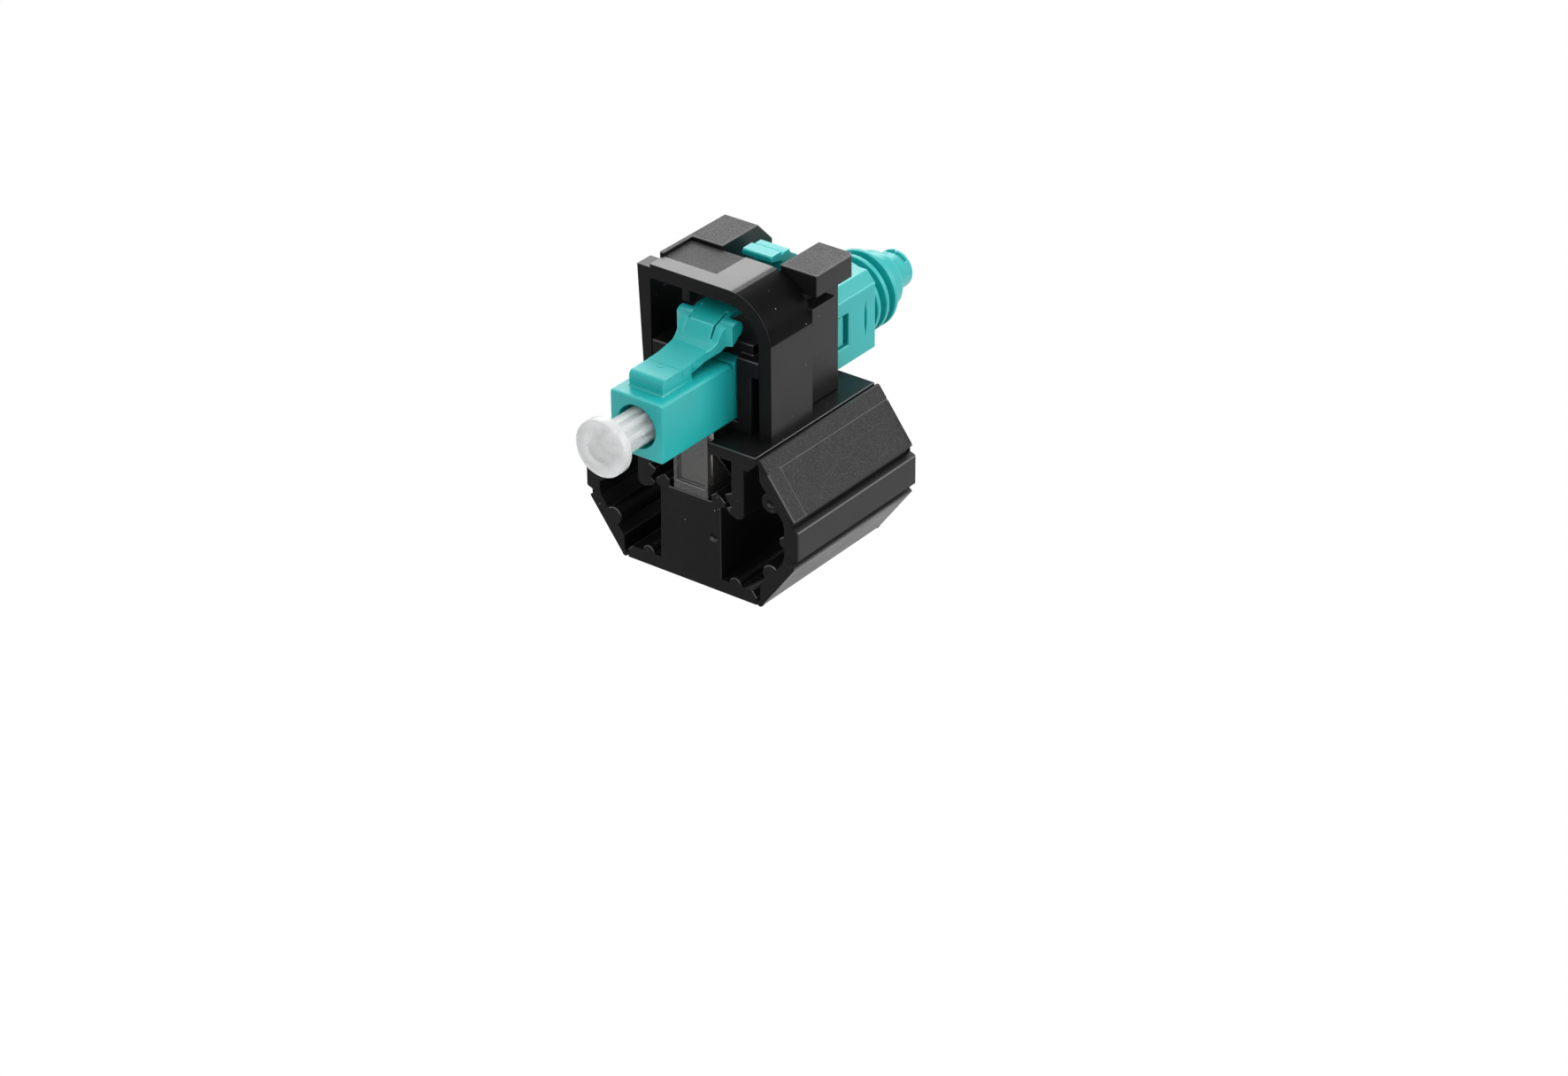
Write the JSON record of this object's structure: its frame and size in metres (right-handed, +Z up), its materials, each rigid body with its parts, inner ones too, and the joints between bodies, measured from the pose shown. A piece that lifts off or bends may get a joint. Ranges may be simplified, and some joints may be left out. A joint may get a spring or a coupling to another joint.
{
  "type": "lc fibre connector",
  "caption": "LC field-assembly fibre connector with latch, trigger and ferrule cap, held on a black squeeze-to-release tool with a clear splice wedge.",
  "frame": {"origin": "centre of the tool's flat bottom face", "axes": "-Y the way the ferrule points, +Y towards the cable end, +Z up through the latch, X across"},
  "size_m": [0.0186, 0.0345, 0.0226],
  "materials": {
    "tool_black": "fine spark texture",
    "wedge_clear": "clear, polished",
    "connector_aqua": "satin",
    "cap_clear": "translucent, polished",
    "ferrule_white": "polished zirconia",
    "holder_metal": "nickel plated",
    "fibre_glass": "polished",
    "splice_plastic": "natural, moulded",
    "spring_steel": "drawn",
    "retainer_black": "moulded"
  },
  "bodies": {
    "base": {"base_plate": "tool_black", "release_wedge": "wedge_clear"},
    "lower_right": {"lower_flank_right": "tool_black"},
    "grip_right": {"side_grip_right": "tool_black"},
    "upper_right": {"upper_flank_right": "tool_black"},
    "lower_left": {"lower_flank_left": "tool_black"},
    "grip_left": {"side_grip_left": "tool_black"},
    "upper_left": {"upper_flank_left": "tool_black"},
    "carriage": {"roof_plate": "tool_black", "tower": "tool_black", "connector_holder": "tool_black", "front_housing": "connector_aqua", "rear_housing": "connector_aqua", "spring_retainer": "retainer_black", "guide_tube": "splice_plastic"},
    "latch": {"latch_arm": "connector_aqua"},
    "trigger": {"trigger": "connector_aqua"},
    "ferrule_group": {"ferrule": "ferrule_white", "ferrule_holder": "holder_metal", "fibre_stub": "fibre_glass", "splice_half_left": "splice_plastic", "splice_half_right": "splice_plastic", "splice_clamp": "spring_steel", "ferrule_spring": "spring_steel"},
    "cap": {"dust_cap": "cap_clear"}
  },
  "joints": [
    {"name": "squeeze_lift", "type": "slide", "parent": "base", "child": "carriage", "axis": [0, 0, 1], "range_m": [0, 0.0012]},
    {"name": "lower_right_hinge", "type": "hinge", "parent": "base", "child": "lower_right", "pos_m": [0.006, 0, 0.00025], "axis": [0, -1, 0], "range_deg": [0, 20.71]},
    {"name": "grip_right_hinge", "type": "hinge", "parent": "lower_right", "child": "grip_right", "pos_m": [0.00845, 0, 0.00437], "axis": [0, 1, 0], "range_deg": [0, 20.71]},
    {"name": "upper_right_hinge", "type": "hinge", "parent": "grip_right", "child": "upper_right", "pos_m": [0.00845, 0, 0.00728], "axis": [0, 1, 0], "range_deg": [0, 20.71]},
    {"name": "lower_left_hinge", "type": "hinge", "parent": "base", "child": "lower_left", "pos_m": [-0.006, 0, 0.00025], "axis": [0, 1, 0], "range_deg": [0, 20.71]},
    {"name": "grip_left_hinge", "type": "hinge", "parent": "lower_left", "child": "grip_left", "pos_m": [-0.00845, 0, 0.00437], "axis": [0, -1, 0], "range_deg": [0, 20.71]},
    {"name": "upper_left_hinge", "type": "hinge", "parent": "grip_left", "child": "upper_left", "pos_m": [-0.00845, 0, 0.00728], "axis": [0, -1, 0], "range_deg": [0, 20.71]},
    {"name": "trigger_press", "type": "hinge", "parent": "carriage", "child": "trigger", "pos_m": [0, 0.0049, 0.01828], "axis": [1, 0, 0], "range_deg": [0, 11], "stiffness_Nm_per_rad": 0.05},
    {"name": "latch_flex", "type": "hinge", "parent": "carriage", "child": "latch", "pos_m": [0, -0.0084, 0.01785], "axis": [-1, 0, 0], "range_deg": [0, 10]},
    {"name": "ferrule_float", "type": "slide", "parent": "carriage", "child": "ferrule_group", "axis": [0, 1, 0], "range_m": [0, 0.0005], "stiffness_N_per_m": 2000, "deforming": ["ferrule_spring"]},
    {"name": "cap_pull", "type": "slide", "parent": "ferrule_group", "child": "cap", "axis": [0, -1, 0], "range_m": [0, 0.006]}
  ],
  "couplings": [
    {"joint": "lower_right_hinge", "follows": "squeeze_lift", "rad_per_m": 301.07},
    {"joint": "grip_right_hinge", "follows": "squeeze_lift", "rad_per_m": 301.07},
    {"joint": "upper_right_hinge", "follows": "squeeze_lift", "rad_per_m": 301.07},
    {"joint": "lower_left_hinge", "follows": "squeeze_lift", "rad_per_m": 301.07},
    {"joint": "grip_left_hinge", "follows": "squeeze_lift", "rad_per_m": 301.07},
    {"joint": "upper_left_hinge", "follows": "squeeze_lift", "rad_per_m": 301.07},
    {"joint": "latch_flex", "follows": "trigger_press", "ratio": 0.9}
  ]
}
